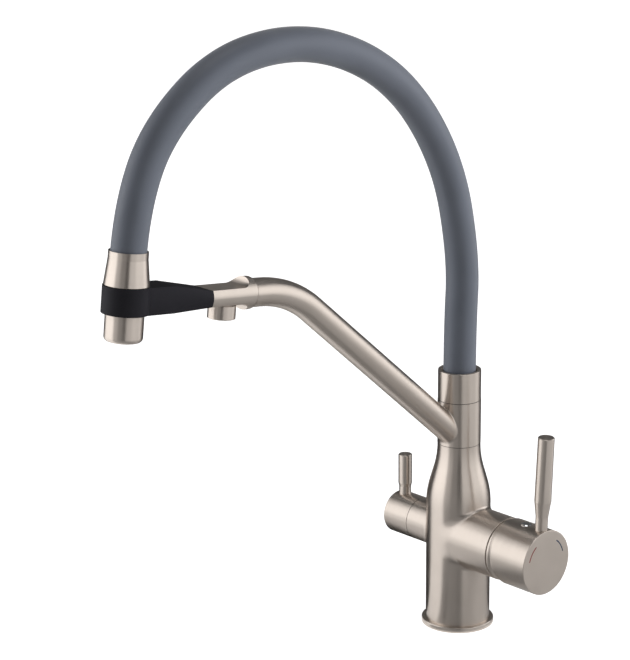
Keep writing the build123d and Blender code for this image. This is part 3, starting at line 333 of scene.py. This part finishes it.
def soft_corner(name, foot, way, branch_radius, column_radius, reach, finish, body):
    """The hollow corner between the upright column and a round branch, as a closed band whose back
    lies inside the metal. It starts a given reach from the sharp corner, first over and under the
    branch and then at its sides, and runs smoothly from one surface into the other."""
    turns, steps, buried = 144, 10, 0.0008
    pull_over, pull_beside = 1.66, 2.0
    sideways = sky.cross(way).normalized()
    over = way.cross(sideways)
    flat = Vector((way.x, way.y, 0))
    points, faces = [], []
    for k in range(turns):
        turn = 2 * pi * k / turns
        out = sideways * sin(turn) + over * cos(turn)
        beside = foot + out * branch_radius

        # The branch's line meets the column where square * t * t + 2 * slope * t + rest is 0.
        square = flat.dot(flat)
        slope = beside.x * flat.x + beside.y * flat.y
        rest = beside.x ** 2 + beside.y ** 2 - column_radius ** 2
        corner = beside + way * ((-slope + (slope ** 2 - square * rest) ** 0.5) / square)
        column_out = Vector((corner.x, corner.y, 0)).normalized()
        away = (out - column_out * column_out.dot(out)).normalized()

        # The band leaves the column and meets the branch without a kink.
        side = abs(sin(turn)) ** 3
        start = reach[0] * (1 - side) + reach[1] * side
        pull = start * (pull_over * (1 - side) + pull_beside * side)
        round_column = Matrix.Rotation(
            start * away.dot(sky.cross(column_out)) / column_radius, 3, "Z")
        on_column = round_column @ Vector((corner.x, corner.y, 0))
        on_column.z = corner.z + start * away.z
        heading = -(round_column @ away)
        on_branch = corner + way * start
        for u in (n / steps for n in range(steps + 1)):
            points.append(on_column * (2 * u ** 3 - 3 * u ** 2 + 1)
                          + heading * pull * (u ** 3 - 2 * u ** 2 + u)
                          + on_branch * (3 * u ** 2 - 2 * u ** 3)
                          + way * pull * (u ** 3 - u ** 2))
        inner = Vector((on_column.x, on_column.y, 0)).normalized()
        points += [on_branch - out * buried, corner - (out + column_out) * buried,
                   on_column - inner * buried]
    row = steps + 4
    for k in range(turns):
        here, there = row * k, row * ((k + 1) % turns)
        for n in range(row):
            m = (n + 1) % row
            faces.append((here + n, here + m, there + m, there + n))
    mesh = bpy.data.meshes.new(name)
    mesh.from_pydata(points, [], faces)
    band = bpy.data.objects.new(name, mesh)
    bpy.context.scene.collection.objects.link(band)
    bpy.ops.object.select_all(action="DESELECT")
    band.select_set(True)
    bpy.context.view_layer.objects.active = band
    bpy.ops.object.mode_set(mode="EDIT")
    bpy.ops.mesh.select_all(action="SELECT")
    bpy.ops.mesh.normals_make_consistent(inside=False)
    bpy.ops.object.mode_set(mode="OBJECT")
    bpy.ops.object.shade_smooth_by_angle(angle=radians(40))
    mesh.materials.append(finish)
    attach(band, body)


# Corner of the mixer branch: a casting's soft rounding, narrow over and under the branch and wide
# at its sides, where the branch is nearly as wide as the column.
soft_corner("mixer_branch_rounding", valve_middle, east, mixer_branch_radius, column_radius,
            (0.002, 0.008), branch_nickel, "column")

# Inside the column: the plug in its foot, the waterway, the swivel core and the hose's tails,
# all turned from brass and screwed or pressed in. Turned brass is a bright yellow with fine
# tool lines, which are drawn 0.4 mm apart, coarser than the real ones, so that they show.
tool_sweep, tool_feed = 0.02, 0.0004
brass, shader = new_material("turned_brass", Metallic=1)
place = add_node(brass, "ShaderNodeTexCoord").outputs["Object"]
feed = add_node(brass, "ShaderNodeMapping", {"vector_type": "TEXTURE",
                "Scale": (tool_sweep, tool_sweep, tool_feed)}, Vector=place)
tool = add_node(brass, "ShaderNodeTexNoise", {"Scale": 1, "Detail": 2}, Vector=feed.outputs[0])
tone = add_node(brass, "ShaderNodeMix", {"data_type": "RGBA", 6: linear("#C8A85E"),
                7: linear("#D9BC74")}, Factor=tool.outputs["Fac"])
dull = add_node(brass, "ShaderNodeMapRange", {"To Min": 0.25, "To Max": 0.4},
                Value=tool.outputs["Fac"])
marks = add_node(brass, "ShaderNodeBump", {"Strength": 0.3, "Distance": 0.00002},
                 Height=tool.outputs["Fac"])
join(brass, shader, Base_Color=tone.outputs[2], Roughness=dull.outputs[0],
     Normal=marks.outputs[0])
dress(brass, "base_plug", "waterway", "swivel_core", "hose_tail", "head_fitting",
      "cartridge_nut", "filter_headwork", "filter_spindle")

# Seals: the gasket under the flange, the swivel's O-rings and two washers, moulded from nitrile
# rubber. It is black with a dull, slightly dusty skin.
nitrile = mottled("moulded_nitrile", "#141414", "#1E1E1E", spot=0.8, smoothest=0.5,
                  roughest=0.7, IOR=1.52)
dress(nitrile, "base_gasket", "swivel_o_rings", "head_washer", "outlet_seal")

# Glide rings: thin rings turned from dark acetal, laid in the seams over and under the swivel
# sleeve, where they keep metal off metal. Acetal is smooth and waxy.
acetal = mottled("turned_acetal", "#2B2826", "#35322F", spot=1.4, smoothest=0.4,
                 roughest=0.55, IOR=1.48)
dress(acetal, "lower_glide_ring", "upper_glide_ring")

# Small steel pieces: the sleeve's clip, the lever's pin and bar, and the screws, stamped or
# turned from stainless steel. It is a cool bright grey.
stainless = mottled("turned_stainless_steel", "#B4B3B0", "#C6C5C2", spot=0.7, smoothest=0.28,
                    roughest=0.42, detail=3, Metallic=1)
dress(stainless, "retaining_clip", "lever_pivot_pin", "set_screw", "filter_set_screw",
      "dock_screw", "lever_bar")

# Mixer valve: a cartridge moulded from polysulfone, held by its nut, with two lapped alumina
# discs that slide on each other. The plastic is an off-white with a low gloss, and the discs
# are whiter and shine.
polysulfone = mottled("moulded_polysulfone", "#D8D7D2", "#E4E3DF", spot=1.25, smoothest=0.35,
                      roughest=0.5, IOR=1.6)
alumina = mottled("lapped_alumina", "#EBE9E2", "#F3F2EC", spot=1.7, smoothest=0.1,
                  roughest=0.2, IOR=1.76)
dress(polysulfone, "mixer_cartridge", "mixer_spindle", "check_valve")
dress(alumina, "fixed_disc", "moving_disc", "filter_fixed_disc", "filter_moving_disc")

# Valve handles: turned caps with a round post screwed into each, and a beaded cover ring behind
# the mixer's. All are brushed round their own axes and plated with nickel. The flat ends are
# brushed straight across, as round an upright line far off.
end_brush_middle = Vector((-0.4, 0, 0.068))
mixer_post_foot, mixer_post_lean = Vector((0.0793, 0, 0.068)), radians(2.7)
filter_post_foot = Vector((-0.0546, 0, 0))


def end_faces(material, place):
    """1 on the flat ends, which face along the valves' axis, and 0 round the sides."""
    nearly_square = 0.95
    facing = add_node(material, "ShaderNodeTexCoord").outputs["Normal"]
    along = add_node(material, "ShaderNodeSeparateXYZ", Vector=facing)
    flat = add_node(material, "ShaderNodeMath", {"operation": "ABSOLUTE"},
                    input_0=along.outputs["X"])
    return add_node(material, "ShaderNodeMath", {"operation": "GREATER_THAN",
                    1: nearly_square}, input_0=flat.outputs[0]).outputs[0]


dress(brushed_nickel("nickel_brushed_round_the_valves", valve_middle, east,
                     (end_brush_middle, sky), end_faces),
      "cover_ring", "mixer_cap", "filter_cap")
dress(brushed_nickel("nickel_brushed_round_the_mixer_post", mixer_post_foot,
                     Vector((sin(mixer_post_lean), 0, cos(mixer_post_lean)))), "mixer_lever")
dress(brushed_nickel("nickel_brushed_round_the_filter_post", filter_post_foot, sky),
      "filter_lever")

# Plug over the grub screw: a domed button of polished chrome, pressed into the cap. It mirrors
# what stands round it.
chrome = mottled("polished_chrome", "#DCDDDE", "#E4E5E6", spot=2, smoothest=0.05, roughest=0.09,
                 Metallic=1)
dress(chrome, "screw_plug")

# Hot and cold marks: enamel run into two engraved arcs in the cap's face and baked, deep red and
# deep blue with a soft gloss.
for mark, darker, lighter in (("hot", "#640303", "#700605"), ("cold", "#071F3A", "#0B2847")):
    enamel = mottled(mark + "_enamel", darker, lighter, spot=1.1, smoothest=0.25,
                     roughest=0.35, IOR=1.5)
    dress(enamel, mark + "_mark")

# Arm: a brass tube bent at its outer end, brazed into the swivel sleeve, with a milled end block.
# It is brushed round its line and plated with nickel, and the brazed corner is ground to a
# small hollow.
arm_slope, end_slope = radians(41), radians(6.5)
arm_way = Vector((0, -cos(arm_slope), sin(arm_slope)))
end_way = Vector((0, -cos(end_slope), sin(end_slope)))
arm_root, arm_radius, sleeve_radius = Vector((0, 0, 0.13815)), 0.0095, 0.0154
bend_corner = Vector((0, -0.1608, 0.27793))


def past_bend(material, place):
    """0 on the sloping arm and 1 past its bend."""
    bend_start, bend_end = -0.125, -0.190
    along = add_node(material, "ShaderNodeSeparateXYZ", Vector=place)
    return add_node(material, "ShaderNodeMapRange", {"From Min": bend_start,
                    "From Max": bend_end}, Value=along.outputs["Y"]).outputs[0]


dress(brushed_nickel("nickel_brushed_round_the_arm", arm_root, arm_way, (bend_corner, end_way),
                     past_bend), "arm_tube")
dress(brushed_nickel("nickel_brushed_round_the_end_block", bend_corner, end_way), "end_block")
soft_corner("arm_brazing", arm_root, arm_way, arm_radius, sleeve_radius, (0.001, 0.0015),
            column_nickel, "spout")

# Filtered-water outlet: a short turned brass sleeve under the end block, brushed and plated with
# nickel, over a stream former that is moulded from grey acetal and pressed into its mouth. The
# spray head's nozzle is moulded from the same.
outlet_reach = 0.0562
up_way = Vector((0, sin(end_slope), cos(end_slope)))
dress(brushed_nickel("nickel_brushed_round_the_outlet", bend_corner + end_way * outlet_reach,
                     up_way), "outlet_sleeve")
grey_acetal = mottled("moulded_acetal_grey", "#B9BAB9", "#C7C8C7", spot=1.1, smoothest=0.35,
                      roughest=0.5, IOR=1.48)
dress(grey_acetal, "outlet_insert", "nozzle_insert")

# Dock bracket: glass-filled nylon, moulded in one piece and screwed to the end block. Its mould
# was spark-eroded, which gives a matte black with a fine grit. The grit is drawn 0.6 mm apart,
# and the melt's flow shows as faint patches of 25 mm.
nylon, shader = new_material("textured_black_nylon", IOR=1.53, Specular_IOR_Level=0.14)
place = add_node(nylon, "ShaderNodeTexCoord").outputs["Object"]
spark = add_node(nylon, "ShaderNodeTexNoise", {"Scale": per_metre(0.6), "Detail": 3,
                 "Roughness": 0.6}, Vector=place)
flow = add_node(nylon, "ShaderNodeTexNoise", {"Scale": per_metre(25), "Detail": 2},
                Vector=place)
tone = add_node(nylon, "ShaderNodeMix", {"data_type": "RGBA", 6: linear("#131217"),
                7: linear("#1A191F")}, Factor=flow.outputs["Fac"])
dull = add_node(nylon, "ShaderNodeMapRange", {"To Min": 0.5, "To Max": 0.62},
                Value=spark.outputs["Fac"])
grit = add_node(nylon, "ShaderNodeBump", {"Strength": 0.35, "Distance": 0.00004},
                Height=spark.outputs["Fac"])
join(nylon, shader, Base_Color=tone.outputs[2], Roughness=dull.outputs[0],
     Normal=grit.outputs[0])
dress(nylon, "dock_bracket")

# Spray head: a turned brass shell, belled at its mouth where it takes the hose, brushed round
# its axis and plated with nickel. It hangs in the ring of the dock bracket.
head_middle = Vector((0, -0.29523, 0.29325))
dress(brushed_nickel("nickel_brushed_round_the_head", head_middle, up_way), "head_shell")

# Studio: a white table in white surroundings, two tall soft lamps at the sides and one above.
# Glowing cards that only reflections see stand round it as painted reflections: bright at the
# sides, dark in front and behind.
pure_white = (1, 1, 1, 1)
bpy.ops.object.select_all(action="DESELECT")
bpy.ops.mesh.primitive_plane_add(size=60, location=(0, 0, -0.0003))
floor = bpy.context.object
floor.name = "floor"
paper = bpy.data.materials.new("white_paper")
paper.use_nodes = True
paper.node_tree.nodes.clear()
plain = add_node(paper, "ShaderNodeBsdfDiffuse", {"Color": linear("#F2F2F0")})
soft = add_node(paper, "ShaderNodeBsdfDiffuse", {"Color": linear("#C8C8C8")})
glow = add_node(paper, "ShaderNodeEmission", {"Color": pure_white, "Strength": 0.8})
lifted = add_node(paper, "ShaderNodeAddShader", input_0=soft.outputs[0],
                  input_1=glow.outputs[0])


def seen(material):
    """1 for rays that see the background: straight, in a reflection or through glass."""
    rays = add_node(material, "ShaderNodeLightPath")
    either = add_node(material, "ShaderNodeMath", {"operation": "MAXIMUM"},
                      input_0=rays.outputs["Is Camera Ray"],
                      input_1=rays.outputs["Is Glossy Ray"])
    return add_node(material, "ShaderNodeMath", {"operation": "MAXIMUM"},
                    input_0=either.outputs[0],
                    input_1=rays.outputs["Is Transmission Ray"]).outputs[0]


shown = add_node(paper, "ShaderNodeMixShader", input_0=seen(paper), input_1=plain.outputs[0],
                 input_2=lifted.outputs[0])
add_node(paper, "ShaderNodeOutputMaterial", Surface=shown.outputs[0])
floor.data.materials.append(paper)

# Surroundings: white to the eye, and a plain grey to what they light.
world = bpy.data.worlds.new("studio")
world.use_nodes = True
world.node_tree.nodes.clear()
bpy.context.scene.world = world
room = add_node(world, "ShaderNodeBackground", {"Color": pure_white, "Strength": 0.45})
white = add_node(world, "ShaderNodeBackground", {"Color": pure_white, "Strength": 1})
shown = add_node(world, "ShaderNodeMixShader", input_0=seen(world), input_1=room.outputs[0],
                 input_2=white.outputs[0])
add_node(world, "ShaderNodeOutputWorld", Surface=shown.outputs[0])


def from_camera(angle, distance, height=0.0):
    """A place round the tap: the angle runs to the camera's right from the way it stands."""
    way = azimuth + radians(angle)
    return Vector((sin(way) * distance, -cos(way) * distance, height))


def soft_lamp(name, place, wide, tall, strength):
    """A flat soft lamp that looks at the tap's middle; its strength is its brightness."""
    tap_middle = Vector((0, -0.13, 0.22))
    lamp = bpy.data.lights.new(name, "AREA")
    lamp.shape = "RECTANGLE"
    lamp.size, lamp.size_y = wide, tall
    lamp.energy = strength * pi * wide * tall
    holder = bpy.data.objects.new(name, lamp)
    bpy.context.scene.collection.objects.link(holder)
    holder.location = place
    holder.rotation_euler = (tap_middle - place).to_track_quat("-Z", "Y").to_euler()
    holder.visible_camera = holder.visible_glossy = False


soft_lamp("left_lamp", from_camera(-95, 2.4, 0.5), wide=1.5, tall=2.0, strength=4.8)
soft_lamp("right_lamp", from_camera(88, 2.4, 0.5), wide=1.5, tall=2.0, strength=8.8)
soft_lamp("top_lamp", Vector((0, -0.1, 2.6)), wide=1.6, tall=1.6, strength=0.1)


def glowing_reflection_card(name, start, end, *glow_levels):
    """A bent glowing card, seen only in reflections, from one angle to another: a painted
    reflection at six glow levels, four on the floor from the tap outwards, upright behind them,
    and overhead at its edge. Farther in it is dark, with a painted lamp's white square in the
    middle."""
    overhead_glow, painted_lamp_glow = 0.1, 2.4
    paper_thick, outermost, ceiling = 0.0004, 2.9, 2.3
    floor_steps, ceiling_steps = (0.027, 0.09, 0.25, 0.95, outermost), (outermost, 1.5, 0.55, 0)
    corners = [(distance, paper_thick) for distance in floor_steps]
    corners += [(distance, ceiling) for distance in ceiling_steps]
    turns = max(2, round((end - start) / 6))
    points = [from_camera(start + (end - start) * k / turns, *corner)
              for k in range(turns + 1) for corner in corners]
    row = len(corners)
    faces = [(first, first + 1, first + row + 1, first + row)
             for k in range(turns) for first in range(row * k, row * k + row - 1)]
    mesh = bpy.data.meshes.new(name)
    mesh.from_pydata(points, [], faces)
    # Each level is how brightly that part of the card glows in reflections: painted reflected
    # light.
    for number, grey in enumerate((*glow_levels, overhead_glow, painted_lamp_glow)):
        sheet = bpy.data.materials.new(f"{name}_{number}")
        sheet.use_nodes = True
        sheet.node_tree.nodes.clear()
        shine = add_node(sheet, "ShaderNodeEmission", {"Color": pure_white, "Strength": grey})
        add_node(sheet, "ShaderNodeOutputMaterial", Surface=shine.outputs[0])
        mesh.materials.append(sheet)
    for face in mesh.polygons:
        face.material_index = face.index % (row - 1)
    board = bpy.data.objects.new(name, mesh)
    bpy.context.scene.collection.objects.link(board)
    board.visible_camera = board.visible_diffuse = board.visible_shadow = False
    board.visible_transmission = False


# The cards glow at the levels given, as painted reflections: a bright studio at the sides, dark
# flags in front and behind. On most of them the floor glows less near the tap, as painted shade
# under it.
glowing_reflection_card("front_left_card", -58, -34, 0.12, 0.22, 0.5, 0.6, 0.7, 0.2)
glowing_reflection_card("front_card", -34, -8, 0.27, 0.32, 0.34, 0.34, 0.34, 0.15)
glowing_reflection_card("camera_card", -8, 10, 0.27, 0.3, 0.28, 0.15, 0.02, 0.5)
glowing_reflection_card("front_right_card", 10, 44, 0.38, 0.5, 0.55, 0.75, 1.0, 0.9)
glowing_reflection_card("right_card", 44, 94, 0.48, 0.44, 0.54, 1.0, 1.4, 0.25)
glowing_reflection_card("far_right_card", 94, 114, 0.4, 0.4, 0.75, 1.3, 1.9, 0.35)
glowing_reflection_card("right_edge_card", 114, 124, 0.06, 0.1, 0.3, 0.9, 1.9, 0.3)
glowing_reflection_card("right_back_card", 124, 136, 0.04, 0.05, 0.1, 0.18, 0.25, 0.15)
glowing_reflection_card("back_card", 136, 218, 0.02, 0.03, 0.04, 0.08, 0.12, 0.08)
glowing_reflection_card("left_back_card", 218, 240, 0.02, 0.03, 0.05, 0.1, 0.16, 0.12)
glowing_reflection_card("left_edge_card", 240, 248, 0.03, 0.05, 0.3, 0.8, 1.6, 1.0)
glowing_reflection_card("left_card", 248, 302, 0.95, 0.95, 1.3, 1.5, 1.8, 1.1)

bpy.context.scene.view_settings.view_transform = "Standard"
